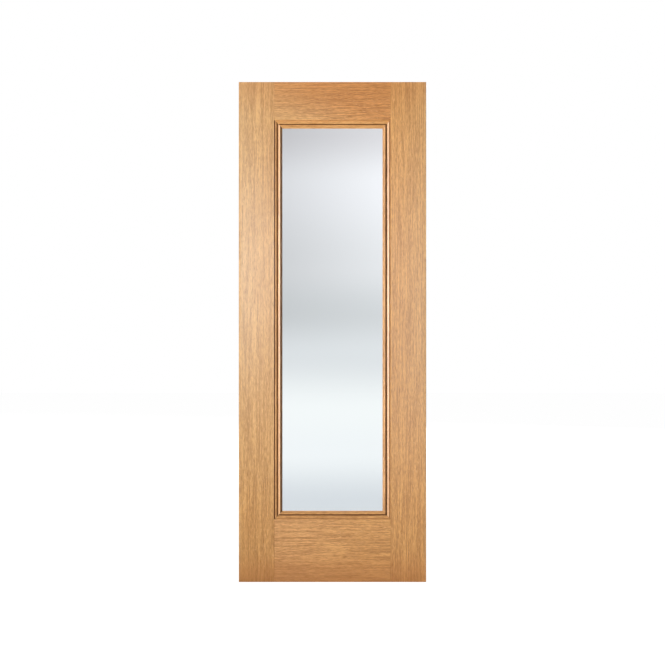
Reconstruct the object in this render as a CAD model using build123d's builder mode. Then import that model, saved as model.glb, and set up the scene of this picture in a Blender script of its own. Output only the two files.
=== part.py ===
from build123d import *
import os

# Glazed oak door leaf: two stiles, two rails, a moulded lining round one tall light, beads and a pane.
# +X runs from the hinge edge to the lock edge, +Y from the front face to the back face, +Z up.
# The origin is on the hinge edge, at the foot of the leaf and the middle of its thickness. Millimetres.

# Leaf
leaf_width = 762.0
leaf_height = 2032.0
leaf_thickness = 35.0

# Stiles and rails: flat face widths, measured from the leaf's edge to the moulding
stile_width = 145.0
top_rail_depth = 155.0
bottom_rail_depth = 255.0

# Board build-up: solid oak edge strip, veneered board on each face, timber core between
lipping_width = 8.0
facing_thickness = 3.0
edge_radius = 1.0
arris = 0.6

# Moulded lining round the light: a V quirk beside the facing, then a ridge that falls to the inner quirk
lining_width = 16.5
outer_quirk_place = 3.5
outer_quirk_depth = 4.5
ridge_place = 8.0
ridge_drop = 0.4
ridge_radius = 2.0
inner_quirk_depth = 10.0

# Glazing bead: a second, lower ridge that rises from the inner quirk and falls to the glass
bead_width = 15.5
bead_ridge_place = 7.0
bead_ridge_drop = 3.5
bead_ridge_radius = 2.5
bead_nose = 3.0

# Pane and glazing tape
glass_thickness = 4.0
glass_edge_gap = 3.0
glass_arris = 0.5
tape_thickness = 1.0
tape_width = 9.0
tape_setback = 2.0
tape_joint_gap = 0.5

# Places worked out from the sizes above
front_face = -leaf_thickness / 2
back_face = leaf_thickness / 2
opening_width = leaf_width - 2 * stile_width
opening_height = leaf_height - top_rail_depth - bottom_rail_depth
opening_bottom = bottom_rail_depth
opening_top = leaf_height - top_rail_depth
opening_middle = (leaf_width / 2, (opening_bottom + opening_top) / 2)
bead_back_depth = (leaf_thickness - glass_thickness) / 2 - tape_thickness

os.makedirs("parts", exist_ok=True)


def save(part, name):
    """Labels a finished piece and writes it as its own file."""
    part.label = name
    export_step(part, f"parts/{name}.step")


# The four sides of the opening: the middle of each edge, the way into the light and the edge's length
sides = {
    "left": (Vector(stile_width, 0, opening_middle[1]), Vector(1, 0, 0), opening_height),
    "right": (Vector(leaf_width - stile_width, 0, opening_middle[1]), Vector(-1, 0, 0), opening_height),
    "top": (Vector(opening_middle[0], 0, opening_top), Vector(0, 0, -1), opening_width),
    "bottom": (Vector(opening_middle[0], 0, opening_bottom), Vector(0, 0, 1), opening_width),
}
faces = {"front": (front_face, Vector(0, 1, 0)), "back": (back_face, Vector(0, -1, 0))}


def board(low, high):
    """A plain board between two opposite corners, given as (x, y, z)."""
    size = [b - a for a, b in zip(low, high)]
    with BuildPart() as blank:
        with Locations(low):
            Box(*size, align=(Align.MIN, Align.MIN, Align.MIN))
    return blank.part


def facing(x0, x1, z0, z1, face, eased):
    """A veneered board on one face. eased picks the edges beside the moulding, which get an arris."""
    outer, inward = faces[face]
    inner = outer + inward.Y * facing_thickness
    with BuildPart() as sheet:
        with Locations((x0, min(outer, inner), z0)):
            Box(x1 - x0, facing_thickness, z1 - z0, align=(Align.MIN, Align.MIN, Align.MIN))
        chamfer(eased(sheet.faces().sort_by(Axis.Y)[0 if face == "front" else -1]), arris)
    return sheet.part


def strip_plane(side, face):
    """Section plane of a strip: local X runs into the light, local Y into the leaf from the face."""
    edge, into_light, _ = sides[side]
    level, into_leaf = faces[face]
    origin = Vector(edge.X, level, edge.Z)
    return Plane(origin, x_dir=into_light, z_dir=into_light.cross(into_leaf))


def mitre(side, plane):
    """The two 45 degree planes that end a strip, through the opening's corners."""
    half = sides[side][2] / 2
    for way in (1, -1):
        corner = plane.origin + plane.z_dir * (way * half)
        yield Plane(corner, z_dir=plane.x_dir + plane.z_dir * way)


# Stiles: core, edge lipping and a veneered board on each face
for hand, outer_x, way in (("left", 0.0, 1), ("right", leaf_width, -1)):
    seam_x = outer_x + way * lipping_width
    inner_x = outer_x + way * stile_width
    core_span = sorted((seam_x, inner_x))
    lip_span = sorted((outer_x, seam_x))
    core_low = (core_span[0], front_face + facing_thickness, 0)
    core_high = (core_span[1], back_face - facing_thickness, leaf_height)
    save(board(core_low, core_high), f"{hand}_stile_core")

    with BuildPart() as lipping:
        with Locations((lip_span[0], front_face, 0)):
            Box(lipping_width, leaf_thickness, leaf_height, align=(Align.MIN, Align.MIN, Align.MIN))
        outer_edges = lipping.faces().sort_by(Axis.X)[0 if way > 0 else -1].edges().filter_by(Axis.Z)
        fillet(outer_edges, edge_radius)
    save(lipping.part, f"{hand}_edge_lipping")

    for face in faces:
        inner_end = -1 if way > 0 else 0
        sheet = facing(
            *core_span, 0, leaf_height, face,
            lambda f: f.edges().filter_by(Axis.Z).sort_by(Axis.X)[inner_end],
        )
        save(sheet, f"{hand}_stile_{face}_facing")

# Rails: core and a veneered board on each face, between the stiles
for name, z0, z1, light_end in (
    ("top", opening_top, leaf_height, 0),
    ("bottom", 0.0, opening_bottom, -1),
):
    x0, x1 = stile_width, leaf_width - stile_width
    rail_core = board((x0, front_face + facing_thickness, z0), (x1, back_face - facing_thickness, z1))
    save(rail_core, f"{name}_rail_core")
    for face in faces:
        sheet = facing(
            x0, x1, z0, z1, face,
            lambda f: f.edges().filter_by(Axis.X).sort_by(Axis.Z)[light_end],
        )
        save(sheet, f"{name}_rail_{face}_facing")

# Moulded lining: solid oak through the full thickness, with the same ridge on both faces
for side in sides:
    plane = strip_plane(side, "front")
    with BuildPart() as lining:
        with BuildSketch(plane) as section:
            with BuildLine():
                Polyline(
                    (0, leaf_thickness / 2),
                    (0, arris),
                    (outer_quirk_place, outer_quirk_depth),
                    (ridge_place, ridge_drop),
                    (lining_width, inner_quirk_depth),
                    (lining_width, leaf_thickness / 2),
                )
                mirror(about=Plane.XZ.offset(-leaf_thickness / 2))
            make_face()
            ridges = section.vertices().filter_by_position(Axis.X, ridge_place, ridge_place)
            fillet(ridges, ridge_radius)
        extrude(amount=sides[side][2] / 2, both=True)
        for cut in mitre(side, plane):
            split(bisect_by=cut, keep=Keep.BOTTOM)
    save(lining.part, f"{side}_moulding")

# Glazing beads: one on each face of the pane, mitred like the lining
bead_ridge = lining_width + bead_ridge_place
sight_line = lining_width + bead_width
for face in faces:
    for side in sides:
        plane = strip_plane(side, face)
        with BuildPart() as bead:
            with BuildSketch(plane) as section:
                with BuildLine():
                    Polyline(
                        (lining_width, bead_back_depth),
                        (lining_width, inner_quirk_depth),
                        (bead_ridge, bead_ridge_drop),
                        (sight_line, bead_back_depth - bead_nose),
                        (sight_line, bead_back_depth),
                        close=True,
                    )
                make_face()
                fillet(section.vertices().filter_by_position(Axis.X, bead_ridge, bead_ridge), bead_ridge_radius)
            extrude(amount=sides[side][2] / 2, both=True)
            for cut in mitre(side, plane):
                split(bisect_by=cut, keep=Keep.BOTTOM)
        save(bead.part, f"{face}_{side}_bead")

# Pane: clear glass, ground edges, a little smaller than the lining
pane_width = opening_width - 2 * (lining_width + glass_edge_gap)
pane_height = opening_height - 2 * (lining_width + glass_edge_gap)
with BuildPart() as pane:
    with BuildSketch(Plane((opening_middle[0], 0, opening_middle[1]), x_dir=(1, 0, 0), z_dir=(0, -1, 0))):
        Rectangle(pane_width, pane_height)
    extrude(amount=glass_thickness / 2, both=True)
    chamfer(pane.faces().sort_by(Axis.Y)[0].edges(), glass_arris)
    chamfer(pane.faces().sort_by(Axis.Y)[-1].edges(), glass_arris)
save(pane.part, "glass_pane")

# Glazing tape: two long and two short strips on each face of the pane, behind the beads
tape_far = sight_line - tape_setback
tape_near = tape_far - tape_width
for face in faces:
    with BuildPart() as tape:
        for side in sides:
            upright = side in ("left", "right")
            length = sides[side][2] - 2 * (tape_near if upright else tape_far + tape_joint_gap)
            with BuildSketch(strip_plane(side, face)):
                with Locations(((tape_near + tape_far) / 2, bead_back_depth + tape_thickness / 2)):
                    Rectangle(tape_width, tape_thickness)
            extrude(amount=length / 2, both=True)
    save(tape.part, f"{face}_glazing_tape")
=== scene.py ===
import math

import bmesh
import bpy
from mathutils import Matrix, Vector


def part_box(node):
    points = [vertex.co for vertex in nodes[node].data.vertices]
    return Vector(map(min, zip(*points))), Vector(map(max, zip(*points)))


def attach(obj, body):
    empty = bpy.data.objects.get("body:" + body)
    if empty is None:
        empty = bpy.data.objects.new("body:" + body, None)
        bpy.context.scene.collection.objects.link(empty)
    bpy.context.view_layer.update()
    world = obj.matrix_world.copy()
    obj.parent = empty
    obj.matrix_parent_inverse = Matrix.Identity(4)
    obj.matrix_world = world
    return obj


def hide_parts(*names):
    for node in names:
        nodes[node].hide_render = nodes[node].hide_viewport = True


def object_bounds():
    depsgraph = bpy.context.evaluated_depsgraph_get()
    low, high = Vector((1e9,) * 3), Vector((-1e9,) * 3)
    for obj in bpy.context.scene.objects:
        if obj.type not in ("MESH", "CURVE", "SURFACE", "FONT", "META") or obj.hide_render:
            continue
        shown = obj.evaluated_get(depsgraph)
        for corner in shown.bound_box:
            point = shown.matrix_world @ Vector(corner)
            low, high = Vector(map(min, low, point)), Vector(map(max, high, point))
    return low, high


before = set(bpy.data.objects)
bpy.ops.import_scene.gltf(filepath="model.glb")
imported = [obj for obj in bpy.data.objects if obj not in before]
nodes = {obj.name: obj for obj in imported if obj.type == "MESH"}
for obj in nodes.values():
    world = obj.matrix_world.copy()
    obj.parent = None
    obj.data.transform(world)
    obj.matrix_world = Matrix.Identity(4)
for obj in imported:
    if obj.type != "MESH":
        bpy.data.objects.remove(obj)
cad_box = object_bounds()


# Stile and rail cores
# Strips of softwood glued side by side into a board and planed, then covered by the lippings and facings.
# They show only along the top and the bottom of the leaf: end grain in the stiles, long grain in the rails.
class Field:
    """One output of a material's nodes. Arithmetic on fields and numbers adds Math nodes."""

    def __init__(self, tree, socket=None):
        self.tree = tree
        self.socket = socket

    def node(self, kind, settings, sockets, output=0):
        """Adds any node: its settings first, then the values or fields of its sockets."""
        made = self.tree.nodes.new(kind)
        for name, value in settings.items():
            if name == "stops":
                made.color_ramp.interpolation = "EASE"
                for index, (spot, colour) in enumerate(value):
                    elements = made.color_ramp.elements
                    stop = elements[index] if index < 2 else elements.new(spot)
                    stop.position = spot
                    stop.color = colour
            else:
                setattr(made, name, value)
        for name, value in sockets.items():
            if isinstance(value, Field):
                self.tree.links.new(value.socket, made.inputs[name])
            else:
                made.inputs[name].default_value = value
        return Field(self.tree, made.outputs[output] if made.outputs else None)

    def math(self, operation, first, second=0.0):
        """One Math node on fields or numbers."""
        return self.node("ShaderNodeMath", {"operation": operation}, {0: first, 1: second})

    def __add__(self, other):
        return self.math("ADD", self, other)

    def __sub__(self, other):
        return self.math("SUBTRACT", self, other)

    def __rsub__(self, other):
        return self.math("SUBTRACT", other, self)

    def __mul__(self, other):
        return self.math("MULTIPLY", self, other)

    def __truediv__(self, other):
        return self.math("DIVIDE", self, other)

    def __abs__(self):
        return self.math("ABSOLUTE", self)

    __radd__ = __add__
    __rmul__ = __mul__

    def rise(self, low, high):
        """0 below low and 1 above high, with a smooth rise between them."""
        ends = {"Value": self, "From Min": low, "From Max": high}
        return self.node("ShaderNodeMapRange", {"interpolation_type": "SMOOTHSTEP"}, ends)

    def mix(self, first, second):
        """The first colour where this field is 0 and the second where it is 1."""
        return self.node("ShaderNodeMix", {"data_type": "RGBA"}, {0: self, 6: first, 7: second}, 2)

    def axes(self):
        """The three numbers of a vector field."""
        made = self.node("ShaderNodeSeparateXYZ", {}, {0: self})
        return [Field(self.tree, out) for out in made.socket.node.outputs]


def new_material(name):
    """An empty material, as a field to hang nodes on."""
    material = bpy.data.materials.new(name)
    material.use_nodes = True
    material.node_tree.nodes.clear()
    return material, Field(material.node_tree)


def surface(tree, sockets, height=None, relief=0.0):
    """Ends a material in one shader. Height, where given, is raised by relief metres."""
    if height is not None:
        bump = {"Height": height, "Strength": 1.0, "Distance": relief}
        sockets["Normal"] = tree.node("ShaderNodeBump", {}, bump)
    shader = tree.node("ShaderNodeBsdfPrincipled", {}, sockets)
    tree.node("ShaderNodeOutputMaterial", {}, {"Surface": shader})


SEED_STEP = (7.3, 3.1, 5.7)


def stretched_noise(place, along, seed, across_per_m, along_per_m, detail, roughness=0.5, fine=1.0):
    """Noise drawn out along one axis, as fibres are. Seed moves it, so that no two boards match."""
    scale = [across_per_m * fine] * 3
    scale["XYZ".index(along)] = along_per_m
    moved = [seed * step for step in SEED_STEP]
    spot = place.node("ShaderNodeMapping", {}, {"Vector": place, "Location": moved, "Scale": scale})
    sockets = {"Vector": spot, "Scale": 1.0, "Detail": detail, "Roughness": roughness}
    return place.node("ShaderNodeTexNoise", {}, sockets)


def dress(name, material):
    """Gives a CAD node its finish."""
    for slot in nodes[name].material_slots:
        slot.material = material


SOFTWOOD_PALE = (0.64, 0.43, 0.22, 1.0)
SOFTWOOD_DARK = (0.44, 0.25, 0.10, 1.0)
GLUE_LINE = (0.30, 0.17, 0.08, 1.0)
STRIP = 0.034
GLUE_FADE = (0.00024, 0.00064)
GLUE_SINK = 0.5
PITH_BACK = 0.03
PITH_SPREAD = 0.05
RING_SPACING = 0.0032
RING_WANDER = 2.5
RING_RISE = (0.35, 0.95)
WANDER_SEED = 1
WANDER_NOISE = {"across_per_m": 60, "along_per_m": 2, "detail": 3}
FIBRE_SEED = 2
FIBRE_NOISE = {"across_per_m": 900, "along_per_m": 14, "detail": 2}
RING_SHADE = 0.55
FIBRE_SHADE = 0.35
STRIP_SHADE = 0.35
SHADE_CUT = 0.15
CORE_ROUGHNESS = 0.62
FIBRE_ROUGHNESS = 0.25
CORE_RELIEF = 0.0002

for along, names in (
    ("Z", ("left_stile_core", "right_stile_core")),
    ("X", ("top_rail_core", "bottom_rail_core")),
):
    material, tree = new_material(f"softwood_core_{along.lower()}")
    place = tree.node("ShaderNodeTexCoord", {}, {}, "Object")
    x, y, z = place.axes()
    across = x if along == "Z" else z
    strip_number = tree.math("FLOOR", across / STRIP)
    in_strip = across - strip_number * STRIP - STRIP / 2
    strip_tone = tree.node("ShaderNodeTexWhiteNoise", {"noise_dimensions": "1D"}, {"W": strip_number})
    wander = stretched_noise(place, along, WANDER_SEED, **WANDER_NOISE)
    from_pith = y + PITH_BACK + strip_tone * PITH_SPREAD
    radius = tree.math("SQRT", in_strip * in_strip + from_pith * from_pith)
    rings = tree.math("FRACT", radius / RING_SPACING + wander * RING_WANDER).rise(*RING_RISE)
    fibres = stretched_noise(place, along, FIBRE_SEED, **FIBRE_NOISE)
    shade = rings * RING_SHADE + fibres * FIBRE_SHADE + strip_tone * STRIP_SHADE - SHADE_CUT
    wood = shade.rise(0, 1).mix(SOFTWOOD_PALE, SOFTWOOD_DARK)
    glue = 1 - abs(abs(in_strip) - STRIP / 2).rise(*GLUE_FADE)
    sockets = {
        "Base Color": glue.mix(wood, GLUE_LINE),
        "Roughness": CORE_ROUGHNESS + fibres * FIBRE_ROUGHNESS,
    }
    surface(tree, sockets, fibres - glue * GLUE_SINK, CORE_RELIEF)
    for name in names:
        dress(name, material)

# Edge lippings
# Solid oak strips glued to the outer edge of each stile and planed flush, so that screws bite on hard wood.
# Sandpaper has rounded their long arrises, their ends show end grain, and a painted sheen makes the upper
# part paler.
TAN_OAK = {"dark": (0.425, 0.210, 0.064, 1.0), "pale": (0.680, 0.378, 0.137, 1.0)}
SHEEN_PALE_OAK = {"dark": (0.43, 0.245, 0.10, 1.0), "pale": (0.69, 0.43, 0.19, 1.0)}
SHEEN_SHARE = {"left": 0.55, "right": 0.3}
SHEEN_HEIGHT = (0.3, 1.1)
OAK_PORE = (0.24, 0.098, 0.032, 1.0)
OAK_RAY = (0.76, 0.45, 0.21, 1.0)
OAK_END = (0.25, 0.11, 0.042, 1.0)
OAK_MARKS = {
    "figure": {"across_per_m": 115, "along_per_m": 1.6, "detail": 2, "roughness": 0.75},
    "streaks": {"across_per_m": 240, "along_per_m": 5.5, "detail": 1, "roughness": 0.7},
    "flecks": {"across_per_m": 360, "along_per_m": 45, "detail": 1},
    "pores": {"across_per_m": 1700, "along_per_m": 60, "detail": 1},
    "stray": {"across_per_m": 5, "along_per_m": 2, "detail": 1},
    "rays": {"across_per_m": 240, "along_per_m": 95, "detail": 1},
    "dashes": {"across_per_m": 420, "along_per_m": 60, "detail": 1},
    "drift": {"across_per_m": 4, "along_per_m": 3, "detail": 0},
}
MARK_SEED_STEP = 10
NOISE_MEAN = 0.5
BANDS_PER_M = 54.0
BAND_DRIFT = 2.5
BAND_SEED_STEP = 11.3
EDGE_SLANT = 0.7
BAND_WEIGHT = 0.42
FIGURE_WEIGHT = 0.6
STREAK_WEIGHT = 2.0
FLECK_WEIGHT = 1.8
DASH_RISE = (0.56, 0.68)
DASH_SHARE = 0.28
PORE_RISE = (0.60, 0.70)
PORE_SHARE = 0.40
RAY_RISE = (0.64, 0.74)
RAY_SHARE = 0.35
END_RISE = (0.75, 0.95)
END_SHARE = 0.75
FOOT_AND_HEAD_SHADE = (0.50, 0.185, 0.042, 1.0)
FOOT_SHADE_TOP = 0.15
FOOT_SHADE_SHARE = 0.55
HEAD_SHADE_LOW = 1.88
HEAD_SHADE_SHARE = 0.25
OAK_ROUGHNESS = 0.30
FLECK_ROUGHNESS = 0.12
PORE_ROUGHNESS = 0.15
END_ROUGHNESS = 0.25
PLANED_ROUGHNESS = 0.15
FLECK_HEIGHT = 0.4
OAK_RELIEF = 0.00006
LIPPING_WANDER = 0.002
SATIN = {"Specular IOR Level": 0.5, "Coat Weight": 0.3, "Coat Roughness": 0.3, "Coat IOR": 1.5}


def oak_mark(place, along, kind, seed, fine=1.0):
    """One kind of mark in oak, drawn out along the grain."""
    shift = MARK_SEED_STEP * list(OAK_MARKS).index(kind)
    return stretched_noise(place, along, seed + shift, **OAK_MARKS[kind], fine=fine)


def oak(tree, along, seed, tones, wander, fine=1.0):
    """The colour, roughness and height of oak with its grain along one axis. Fine narrows its lines."""
    place = tree.node("ShaderNodeTexCoord", {}, {}, "Object")
    stray = oak_mark(place, along, "stray", seed)
    stray_vector = Field(tree.tree, stray.socket.node.outputs["Color"])
    stray_ends = {0: stray_vector, 1: [NOISE_MEAN] * 3}
    strayed = tree.node("ShaderNodeVectorMath", {"operation": "SUBTRACT"}, stray_ends)
    push = [wander / NOISE_MEAN] * 3
    push["XYZ".index(along)] = 0.0
    moved = tree.node("ShaderNodeVectorMath", {"operation": "MULTIPLY"}, {0: strayed, 1: push})
    bent = tree.node("ShaderNodeVectorMath", {"operation": "ADD"}, {0: place, 1: moved})
    bent_axes = bent.axes()
    across = bent_axes[0 if along == "Z" else 2] + bent_axes[1] * EDGE_SLANT
    drift = oak_mark(place, along, "drift", seed)
    band_place = across * BANDS_PER_M + drift * BAND_DRIFT + seed * BAND_SEED_STEP
    band_sockets = {"W": band_place, "Scale": 1.0, "Detail": 0.0}
    bands = tree.node("ShaderNodeTexNoise", {"noise_dimensions": "1D"}, band_sockets) - NOISE_MEAN
    figure = oak_mark(bent, along, "figure", seed, fine) - NOISE_MEAN
    streaks = oak_mark(bent, along, "streaks", seed, fine) - NOISE_MEAN
    flecks = oak_mark(bent, along, "flecks", seed, fine) - NOISE_MEAN
    dashes = oak_mark(bent, along, "dashes", seed, fine).rise(*DASH_RISE)
    pores = oak_mark(bent, along, "pores", seed).rise(*PORE_RISE)
    rays = oak_mark(bent, along, "rays", seed).rise(*RAY_RISE)
    lines = streaks * STREAK_WEIGHT + flecks * FLECK_WEIGHT
    tone = NOISE_MEAN + bands * BAND_WEIGHT + figure * FIGURE_WEIGHT + lines * fine
    wood = tone.mix(tones["dark"], tones["pale"])
    wood = (rays * RAY_SHARE).mix(wood, OAK_RAY)
    wood = (dashes * DASH_SHARE).mix(wood, OAK_PORE)
    wood = (pores * PORE_SHARE).mix(wood, OAK_PORE)
    normal = tree.node("ShaderNodeTexCoord", {}, {}, "Normal").axes()["XYZ".index(along)]
    end = abs(normal).rise(*END_RISE)
    wood = (end * END_SHARE).mix(wood, OAK_END)
    # Painted shade: every oak piece darkens towards the foot and the head of the leaf.
    up = place.axes()[2]
    foot = 1 - up.rise(0, FOOT_SHADE_TOP)
    head = up.rise(HEAD_SHADE_LOW, cad_box[1][2])
    wood = (foot * FOOT_SHADE_SHARE + head * HEAD_SHADE_SHARE).mix(wood, FOOT_AND_HEAD_SHADE)
    roughness = OAK_ROUGHNESS + flecks * FLECK_ROUGHNESS + pores * PORE_ROUGHNESS + end * END_ROUGHNESS
    height = 1 - pores + flecks * FLECK_HEIGHT
    return wood, roughness, height


def blend(field, first, second):
    """Tones that pass from one oak to another as a field rises."""
    return {end: field.mix(first[end], second[end]) for end in first}


for seed, side in enumerate(SHEEN_SHARE):
    name = f"{side}_edge_lipping"
    material, tree = new_material(f"oak_{name}")
    up = tree.node("ShaderNodeTexCoord", {}, {}, "Object").axes()[2]
    # Painted sheen: paler upward, more on the left lipping.
    tones = blend(up.rise(*SHEEN_HEIGHT) * SHEEN_SHARE[side], TAN_OAK, SHEEN_PALE_OAK)
    wood, roughness, height = oak(tree, "Z", seed, tones, LIPPING_WANDER)
    planed = roughness + PLANED_ROUGHNESS
    surface(tree, {"Base Color": wood, "Roughness": planed, **SATIN}, height, OAK_RELIEF)
    dress(name, material)

# Facings
# Thin boards faced with oak veneer and glued to both sides of the core, the grain upright on the stiles.
# Those of the rails run across and butt against the stiles. Cut ends show the brown board under the veneer.
STRAW_OAK = {"dark": (0.415, 0.180, 0.045, 1.0), "pale": (0.715, 0.362, 0.109, 1.0)}
RUSSET_OAK = {"dark": (0.360, 0.134, 0.028, 1.0), "pale": (0.680, 0.302, 0.080, 1.0)}
HONEY_OAK = {"dark": (0.43, 0.192, 0.059, 1.0), "pale": (0.75, 0.395, 0.147, 1.0)}
PALE_OAK = {"dark": (0.54, 0.245, 0.072, 1.0), "pale": (0.81, 0.430, 0.155, 1.0)}
FACING_SEED = 3
STILE_WANDER = 0.004
LEFT_FADE = (0.20, 0.52)
LEFT_FADE_SHARE = 0.6
RIGHT_FADE_UP = (1.0, 1.4)
RIGHT_FADE_DOWN = (1.75, 1.95)
RIGHT_FADE_SHARE = 0.25
RAIL_WANDER = 0.008
RAIL_FINE = 1.3
BOTTOM_FADE = (0.13, 0.63)
TOP_FADE_FROM = 0.38
TOP_FADE_WIDTH = 0.48
TOP_FADE_DEPTH = 0.25
TOP_FADE_RISE = (0.05, 1.15)
# Painted shade colour, for the lining's quirks and edges and the shadow line on the left stile.
PAINTED_SHADE_BROWN = (0.11, 0.036, 0.006, 1.0)
SHADOW_LINE_WIDTH = 0.0020
SHADOW_LINE_FADE = (0.0024, 0.0016)
VENEER = 0.0006
VENEER_BLUR = 0.0001
BOARD_BROWN = (0.21, 0.12, 0.062, 1.0)
BOARD_ROUGHNESS = 0.3

light_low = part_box("left_moulding")[0]
light_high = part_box("right_moulding")[1]
leaf_half = (cad_box[1][1] - cad_box[0][1]) / 2
veneer_back = leaf_half - VENEER

facings = [n for n in sorted(nodes) if n.endswith("_facing")]
for seed, name in enumerate(facings, start=FACING_SEED):
    side = name.split("_")[0]
    low_end, high_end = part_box(name)
    material, tree = new_material(f"oak_veneer_{name}")
    x, y, z = tree.node("ShaderNodeTexCoord", {}, {}, "Object").axes()
    if side == "top":
        low_left = (TOP_FADE_FROM - x) / TOP_FADE_WIDTH + (cad_box[1][2] - z) / TOP_FADE_DEPTH
        tones = blend(low_left.rise(*TOP_FADE_RISE), RUSSET_OAK, TAN_OAK)
    elif side == "bottom":
        tones = blend(x.rise(*BOTTOM_FADE), HONEY_OAK, STRAW_OAK)
    elif side == "left":
        outer = 1 - x.rise(low_end.x, high_end.x)
        low = 1 - z.rise(*LEFT_FADE)
        tones = blend(low * LEFT_FADE_SHARE, TAN_OAK, STRAW_OAK)
    else:
        outer = x.rise(low_end.x, high_end.x)
        high = z.rise(*RIGHT_FADE_UP) * (1 - z.rise(*RIGHT_FADE_DOWN))
        tones = blend(high * RIGHT_FADE_SHARE, STRAW_OAK, PALE_OAK)
    # Painted sheen: paler towards the outer edge and upward, more on the left stile.
    if side in SHEEN_SHARE:
        painted_sheen = outer * z.rise(*SHEEN_HEIGHT) * SHEEN_SHARE[side]
        tones = blend(painted_sheen, tones, SHEEN_PALE_OAK)
        wood, roughness, height = oak(tree, "Z", seed, tones, STILE_WANDER)
    else:
        wood, roughness, height = oak(tree, "X", seed, tones, RAIL_WANDER, RAIL_FINE)
    # Painted shadow: a thin dark line on the left stile's inner edge, beside the light opening.
    if side == "left":
        edge_shadow = x.rise(high_end.x - SHADOW_LINE_FADE[0], high_end.x - SHADOW_LINE_FADE[1])
        beside_light = z.rise(light_low.z, light_low.z + SHADOW_LINE_WIDTH)
        beside_light = beside_light * (1 - z.rise(light_high.z - SHADOW_LINE_WIDTH, light_high.z))
        wood = (edge_shadow * beside_light).mix(wood, PAINTED_SHADE_BROWN)
    under = 1 - abs(y).rise(veneer_back - VENEER_BLUR, veneer_back + VENEER_BLUR)
    sockets = {
        "Base Color": under.mix(wood, BOARD_BROWN),
        "Roughness": roughness + under * BOARD_ROUGHNESS,
        **SATIN,
    }
    surface(tree, sockets, height, OAK_RELIEF)
    dress(name, material)

# Moulded lining
# Solid oak run through a moulder to a rounded ridge between two quirks on each face, mitred and glued in.
# It takes up the whole thickness, so the back shows the same ridge. Its quirks and edges get painted shade.
LINING_OUTLINE = (
    (0.0, 0.0006),
    (0.0034, 0.0040),
    (0.0058, 0.0010),
    (0.0145, 0.0071),
    (0.0150, 0.0086),
    (0.0155, 0.0064),
    (0.0165, 0.0058),
)
LINING_CREST = LINING_OUTLINE[2]
LINING_SEED = 14
CREST_ROUNDING = 0.0009
CREST_SEGMENTS = 6
SMOOTH_ANGLE = math.radians(20)
TOUCH = 0.00002
MOULDING_WANDER = 0.0015
MITRE_LINE = (0.16, 0.075, 0.03, 1.0)
MITRE_FADE = (0.00025, 0.000625)
MITRE_SHARE = 0.8
# Painted shade: dark bands in the quirks, at the outer edge and towards the glass, set per side, deepest
# where the key does not reach.
QUIRK_SHADE = {
    "left": (0.0075, 0.0142, 0.0150, 0.0155),
    "right": (0.0140, 0.0146, 0.0185, 0.0215),
    "top": (0.0140, 0.0150, 0.0180, 0.0195),
    "bottom": (0.0140, 0.0150, 0.0190, 0.0210),
}
QUIRK_ROUGHNESS = 0.4
SIGHT_SHADE_RISE = (0.0235, 0.0245)
SIGHT_SHADE = {"left": 0.75, "right": 0.35, "top": 0.0, "bottom": 0.0}
EDGE_SHADE_WIDTH = 0.0052
EDGE_SHADE = {"left": 0.9, "right": 0.65, "top": 0.15, "bottom": 0.55}
INWARD = {
    "left": Vector((1, 0, 0)),
    "right": Vector((-1, 0, 0)),
    "top": Vector((0, 0, -1)),
    "bottom": Vector((0, 0, 1)),
}


def pick(piece, wanted):
    """Selects the vertices whose place is wanted, with the edges and faces between them."""
    mesh = bmesh.from_edit_mesh(piece.data)
    for vertex in mesh.verts:
        vertex.select_set(wanted(vertex.co))
    mesh.select_flush_mode()
    bmesh.update_edit_mesh(piece.data)


def moulded_length(node, side, outline, crest):
    """An oak block where its node is, pushed in to an outline of (inward, depth) points and mitred."""
    inward = INWARD[side]
    along = Vector((abs(inward.z), 0, abs(inward.x)))
    corner = light_low if side in ("left", "bottom") else light_high
    faces = [face for face, other in ((-1, "back"), (1, "front")) if not node.startswith(other)]
    low, high = (Vector(point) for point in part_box(node))
    if -1 in faces:
        low.y = -leaf_half
    if 1 in faces:
        high.y = leaf_half
    bpy.ops.object.select_all(action="DESELECT")
    bpy.ops.mesh.primitive_cube_add(size=1, location=(low + high) / 2, scale=high - low)
    piece = bpy.context.object
    piece.name = f"{node}_oak"
    bpy.ops.object.transform_apply(location=True, rotation=True, scale=True)
    bpy.ops.object.mode_set(mode="EDIT")

    def in_from_edge(spot):
        return (spot - corner).dot(inward)

    for place, _ in outline[1:-1]:
        bpy.ops.mesh.select_all(action="SELECT")
        bpy.ops.mesh.bisect(plane_co=corner + inward * place, plane_no=inward)
    for place, depth in outline:
        for face in faces:
            pick(piece, lambda spot: abs(in_from_edge(spot) - place) < TOUCH
                 and abs(spot.y - face * leaf_half) < TOUCH)
            bpy.ops.transform.translate(value=(0, -face * depth, 0))
    pick(piece, lambda spot: abs(in_from_edge(spot) - crest[0]) < TOUCH
         and abs(abs(spot.y) - leaf_half + crest[1]) < TOUCH)
    bpy.ops.mesh.bevel(offset=CREST_ROUNDING, segments=CREST_SEGMENTS, affect="EDGES")
    for end, way in ((light_low, -1), (light_high, 1)):
        tip = corner + along * (end - corner).dot(along)
        cut = (inward + along * way).normalized()
        bpy.ops.mesh.select_all(action="SELECT")
        bpy.ops.mesh.bisect(plane_co=tip, plane_no=cut, use_fill=True, clear_outer=True)
    bpy.ops.mesh.select_all(action="SELECT")
    bpy.ops.mesh.normals_make_consistent(inside=False)
    bpy.ops.object.mode_set(mode="OBJECT")
    bpy.ops.object.shade_smooth_by_angle(angle=SMOOTH_ANGLE)
    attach(piece, "root")
    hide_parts(node)
    return piece


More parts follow.
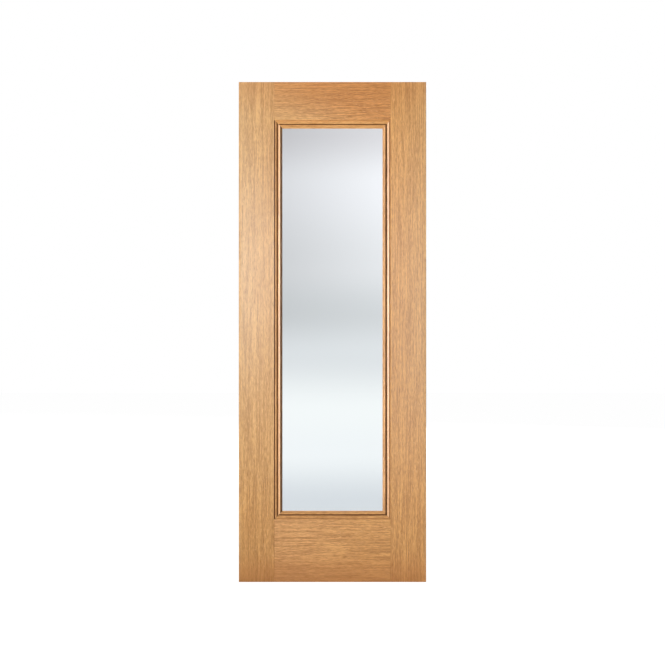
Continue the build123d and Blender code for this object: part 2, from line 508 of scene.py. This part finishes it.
def moulded_oak(piece, side, seed):
    """Oak with its grain along the length, painted shade in its quirks and edges, and a hair of glue in each
    mitre.
    """
    material, tree = new_material(f"oak_{piece.name}")
    along = "Z" if side in ("left", "right") else "X"
    # Painted light: the top lengths take the paler oak, standing in for brighter light on their flanks.
    tones = PALE_OAK if side == "top" else HONEY_OAK
    wood, roughness, height = oak(tree, along, seed, tones, MOULDING_WANDER)
    x, _, z = tree.node("ShaderNodeTexCoord", {}, {}, "Object").axes()
    sideways = tree.math("MINIMUM", x - light_low.x, light_high.x - x)
    upward = tree.math("MINIMUM", z - light_low.z, light_high.z - z)
    inward = tree.math("MINIMUM", sideways, upward)
    shade_band = QUIRK_SHADE[side]
    quirk = inward.rise(shade_band[0], shade_band[1]) * (1 - inward.rise(shade_band[2], shade_band[3]))
    sight = inward.rise(*SIGHT_SHADE_RISE)
    edge = 1 - inward.rise(0, EDGE_SHADE_WIDTH)
    mitre = 1 - abs(sideways - upward).rise(*MITRE_FADE)
    # Painted shade: quirks, outer edge and sight line are darkened, more on the sides turned away from the
    # key.
    painted_shade = quirk + edge * EDGE_SHADE[side] + sight * SIGHT_SHADE[side]
    wood = painted_shade.mix(wood, PAINTED_SHADE_BROWN)
    sockets = {
        **SATIN,
        "Base Color": (mitre * MITRE_SHARE).mix(wood, MITRE_LINE),
        "Roughness": roughness + quirk * QUIRK_ROUGHNESS,
        "Coat Weight": SATIN["Coat Weight"] * (1 - quirk),
    }
    surface(tree, sockets, height, OAK_RELIEF)
    piece.data.materials.append(material)


for seed, side in enumerate(INWARD, start=LINING_SEED):
    length = moulded_length(f"{side}_moulding", side, LINING_OUTLINE, LINING_CREST)
    moulded_oak(length, side, seed)

# Pane
# One sheet of clear 4 mm float glass with ground edges, bedded on tape between the beads.
# Float glass is faintly green through its edge and all but colourless through its face.
GLASS_TINT = (0.955, 0.985, 0.985, 1.0)
GLASS_IOR = 1.5
SMEARS_PER_M = 3.0
SMEAR_DETAIL = 3.0
SMEAR_ROUGHNESS = 0.02

material, tree = new_material("clear_glass")
place = tree.node("ShaderNodeTexCoord", {}, {}, "Object")
smear_sockets = {"Vector": place, "Scale": SMEARS_PER_M, "Detail": SMEAR_DETAIL}
smear = tree.node("ShaderNodeTexNoise", {}, smear_sockets)
sockets = {
    "Base Color": GLASS_TINT,
    "Roughness": smear * SMEAR_ROUGHNESS,
    "IOR": GLASS_IOR,
    "Transmission Weight": 1.0,
}
surface(tree, sockets)
dress("glass_pane", material)
nodes["glass_pane"].visible_shadow = False

# Glazing tape
# Closed-cell foam strip, stuck round both faces of the pane before the beads are pressed on.
# Set back from the sight line, so only its edge shows, as a dark line under the bead.
FOAM = (0.028, 0.024, 0.020, 1.0)
FOAM_CELL = (0.060, 0.052, 0.044, 1.0)
FOAM_CELLS_PER_M = 2200.0
FOAM_ROUGHNESS = 0.8
CELL_ROUGHNESS = 0.15
FOAM_RELIEF = 0.0001

material, tree = new_material("foam_tape")
place = tree.node("ShaderNodeTexCoord", {}, {}, "Object")
cells = tree.node("ShaderNodeTexVoronoi", {}, {"Vector": place, "Scale": FOAM_CELLS_PER_M})
sockets = {
    "Base Color": cells.mix(FOAM, FOAM_CELL),
    "Roughness": FOAM_ROUGHNESS + cells * CELL_ROUGHNESS,
}
surface(tree, sockets, cells, FOAM_RELIEF)
for name in ("front_glazing_tape", "back_glazing_tape"):
    dress(name, material)

# Glazing beads
# Solid oak strips, four to a face, with a second rounded ridge that falls to the glass.
# They are mitred like the lining, pressed on to the tape and pinned to the lining.
BEAD_OUTLINE = ((0.0165, 0.0058), (0.0230, 0.0020), (0.032, 0.0115))
BEAD_CREST = BEAD_OUTLINE[1]
BEAD_SEEDS = {"front": 20, "back": 24}

for face, first_seed in BEAD_SEEDS.items():
    for seed, side in enumerate(INWARD, start=first_seed):
        length = moulded_length(f"{face}_{side}_bead", side, BEAD_OUTLINE, BEAD_CREST)
        moulded_oak(length, side, seed)

# Floor and surroundings
# A plain pale matt floor that takes the leaf's shadow, and a white studio round it.
# Both stay white to the eye and through glass, and light the leaf only a little.
WHITE = (1.0, 1.0, 1.0, 1.0)
FLOOR_GREY = (0.3, 0.3, 0.3, 1.0)
FLOOR_SPAN = 40.0
FLOOR_GAP = 0.001
FLOOR_GLOW = 0.97
STUDIO_FILL = 0.06
GLOSS_SHARE = 0.15

middle = (cad_box[0] + cad_box[1]) / 2


def seen_rays(tree):
    """1 for what the eye sees, straight or through glass, and a share of that in gloss."""
    rays = tree.node("ShaderNodeLightPath", {}, {}).socket.node.outputs
    kinds = ("Camera", "Transmission", "Glossy")
    direct, glass, gloss = (Field(tree.tree, rays[f"Is {kind} Ray"]) for kind in kinds)
    return tree.math("MINIMUM", direct + glass + gloss * GLOSS_SHARE, 1.0)


bpy.ops.object.select_all(action="DESELECT")
bpy.ops.mesh.primitive_plane_add(size=FLOOR_SPAN, location=(middle.x, 0, -FLOOR_GAP))
floor = bpy.context.object
floor.name = "floor"
material, tree = new_material("pale_floor")
matt = tree.node("ShaderNodeBsdfDiffuse", {}, {"Color": FLOOR_GREY})
glow = tree.node("ShaderNodeEmission", {}, {"Strength": seen_rays(tree) * FLOOR_GLOW})
both = tree.node("ShaderNodeAddShader", {}, {0: matt, 1: glow})
tree.node("ShaderNodeOutputMaterial", {}, {"Surface": both})
floor.data.materials.append(material)

world = bpy.data.worlds.new("white_studio")
bpy.context.scene.world = world
world.use_nodes = True
world.node_tree.nodes.clear()
tree = Field(world.node_tree)
strength = STUDIO_FILL + seen_rays(tree) * (1 - STUDIO_FILL)
sky = tree.node("ShaderNodeBackground", {}, {"Color": WHITE, "Strength": strength})
tree.node("ShaderNodeOutputWorld", {}, {"Surface": sky})

# Backdrop
# A pale cloth sheet hung flat behind the leaf, which shows only through the pane.
# It glows with painted uneven light, so the glass looks brightest low down and again near the top.
SHEET_BACK = 1.2
SHEET_SIZE = 3.2
SHEET_LOW = 0.184
SHEET_HIGH = 1.994
SHEET_TONES = (
    (0.00, (0.710, 0.742, 0.783, 1.0)),
    (0.14, (0.940, 0.962, 0.980, 1.0)),
    (0.25, (0.975, 0.995, 1.000, 1.0)),
    (0.40, (0.775, 0.795, 0.820, 1.0)),
    (0.51, (0.650, 0.665, 0.686, 1.0)),
    (0.64, (0.755, 0.757, 0.782, 1.0)),
    (0.86, (0.862, 0.858, 0.894, 1.0)),
    (1.00, (0.675, 0.658, 0.687, 1.0)),
)
SIDE_LIGHT = 0.55
SIDE_LIGHT_RISE = (0.75, 1.45)

sheet_place = (middle.x, SHEET_BACK, middle.z)
bpy.ops.object.select_all(action="DESELECT")
bpy.ops.mesh.primitive_plane_add(size=1, location=sheet_place, rotation=(math.pi / 2, 0, 0))
sheet = bpy.context.object
sheet.name = "backdrop"
sheet.scale = (SHEET_SIZE, SHEET_SIZE, 1)
bpy.ops.object.transform_apply(location=True, rotation=True, scale=True)
sheet.visible_camera = False
sheet.visible_diffuse = False
sheet.visible_glossy = False
sheet.visible_shadow = False
material, tree = new_material("graded_sheet")
x, _, z = tree.node("ShaderNodeTexCoord", {}, {}, "Object").axes()
height = tree.node("ShaderNodeMapRange", {}, {"Value": z, "From Min": SHEET_LOW, "From Max": SHEET_HIGH})
tone = tree.node("ShaderNodeValToRGB", {"stops": SHEET_TONES}, {"Fac": height})
side_light = 1 + (x - middle.x) * SIDE_LIGHT * z.rise(*SIDE_LIGHT_RISE)
lit = tree.node("ShaderNodeVectorMath", {"operation": "SCALE"}, {0: tone, "Scale": side_light})
light = tree.node("ShaderNodeEmission", {}, {"Color": lit})
tree.node("ShaderNodeOutputMaterial", {}, {"Surface": light})
sheet.data.materials.append(material)

# Lamps
# A far soft key at the left rakes across the mouldings, a larger one behind lights the back, and a slim strip
# overhead lights the top edge. Two small boxes give the satin sheen, and two low flags shade the foot.
KEY_DISTANCE = 10.0
KEY_AIM = 1.2
KEY_ANGLE = math.radians(47)
KEY_HEIGHT = 1.35
KEY_BOX = {"width": 1.4, "height": 1.8, "power": 1180}
BACK_KEY_ANGLE = math.radians(28)
BACK_KEY_HEIGHT = 3.1
BACK_KEY_BOX = {"width": 3.0, "height": 3.0, "power": 1000}
TOP_STRIP_RISE = 1.2
TOP_STRIP_BOX = {"width": 0.7, "height": 0.02, "power": 1.2, "spread": 60}
LEFT_FRONT_PLACE = (-0.35, -5.0, 1.5)
LEFT_FRONT_AIM = (0.25, 0, 1.4)
LEFT_FRONT_BOX = {"width": 0.5, "height": 1.0, "power": 6.2, "spread": 75}
RIGHT_FRONT_PLACE = (1.05, -5.0, 1.0)
RIGHT_FRONT_AIM = (0.6, 0, 1.0)
RIGHT_FRONT_BOX = {"width": 0.3, "height": 2.0, "power": 4.4, "spread": 75}
FLAG_WIDTH = 3.0
FLAGS = {
    "far_flag": {"share": 0.5, "height": 0.385, "tilt": 30},
    "near_flag": {"share": 0.15, "height": 0.155, "tilt": 0},
}


def softbox(name, place, aim, width, height, power, spread=180):
    """A rectangular lamp that faces the point it is aimed at. Spread is in degrees."""
    lamp = bpy.data.lights.new(name, "AREA")
    lamp.shape = "RECTANGLE"
    lamp.size = width
    lamp.size_y = height
    lamp.energy = power
    lamp.spread = math.radians(spread)
    holder = bpy.data.objects.new(name, lamp)
    bpy.context.scene.collection.objects.link(holder)
    holder.location = place
    holder.rotation_euler = (Vector(aim) - holder.location).to_track_quat("-Z", "Y").to_euler()
    return holder


key_aim = (middle.x, 0, KEY_AIM)
key_way = Vector((-math.sin(KEY_ANGLE), -math.cos(KEY_ANGLE), 0))
key_place = Vector((middle.x, 0, KEY_HEIGHT)) + key_way * KEY_DISTANCE
softbox("key", key_place, key_aim, **KEY_BOX)
back_way = Vector((math.sin(BACK_KEY_ANGLE), math.cos(BACK_KEY_ANGLE), 0))
back_place = Vector((middle.x, 0, BACK_KEY_HEIGHT)) + back_way * KEY_DISTANCE
back_key = softbox("back_key", back_place, key_aim, **BACK_KEY_BOX)
top_place = Vector((middle.x, 0, cad_box[1][2] + TOP_STRIP_RISE))
top_strip = softbox("top_strip", top_place, (middle.x, 0, 0), **TOP_STRIP_BOX)
for lamp in (back_key, top_strip):
    lamp.visible_camera = False
    lamp.visible_transmission = False
softbox("left_front", LEFT_FRONT_PLACE, LEFT_FRONT_AIM, **LEFT_FRONT_BOX)
softbox("right_front", RIGHT_FRONT_PLACE, RIGHT_FRONT_AIM, **RIGHT_FRONT_BOX)

for name, size in FLAGS.items():
    foot = Vector((middle.x, 0, 0)) + key_way * KEY_DISTANCE * size["share"]
    bpy.ops.object.select_all(action="DESELECT")
    bpy.ops.mesh.primitive_plane_add(size=1, location=foot + Vector((0, 0, size["height"] / 2)))
    flag = bpy.context.object
    flag.name = name
    flag.scale = (FLAG_WIDTH, size["height"], 1)
    flag.rotation_euler = (math.pi / 2, math.radians(size["tilt"]), -KEY_ANGLE)
    bpy.ops.object.transform_apply(location=True, rotation=True, scale=True)
    flag.visible_camera = False
    flag.visible_glossy = False
    flag.visible_transmission = False

# Camera
# A camera with a portrait lens, square on to the leaf and level with its middle.
# It stands as far off as makes the leaf as tall in the picture as it is in the photograph.
LENS = 85.0
SENSOR = 36.0
FRAME_PIXELS = 665
LEAF_PIXELS = 500
CENTRE_SHIFT_PIXELS = -0.5

metres_per_pixel = (cad_box[1][2] - cad_box[0][2]) / LEAF_PIXELS
distance = FRAME_PIXELS * metres_per_pixel * LENS / SENSOR
eye_height = middle.z + CENTRE_SHIFT_PIXELS * metres_per_pixel
camera = bpy.data.cameras.new("camera")
camera.lens = LENS
camera.sensor_width = SENSOR
viewer = bpy.data.objects.new("camera", camera)
bpy.context.scene.collection.objects.link(viewer)
viewer.location = (middle.x, cad_box[0][1] - distance, eye_height)
viewer.rotation_euler = (math.pi / 2, 0, 0)
bpy.context.scene.camera = viewer
bpy.context.scene.view_settings.view_transform = "Standard"
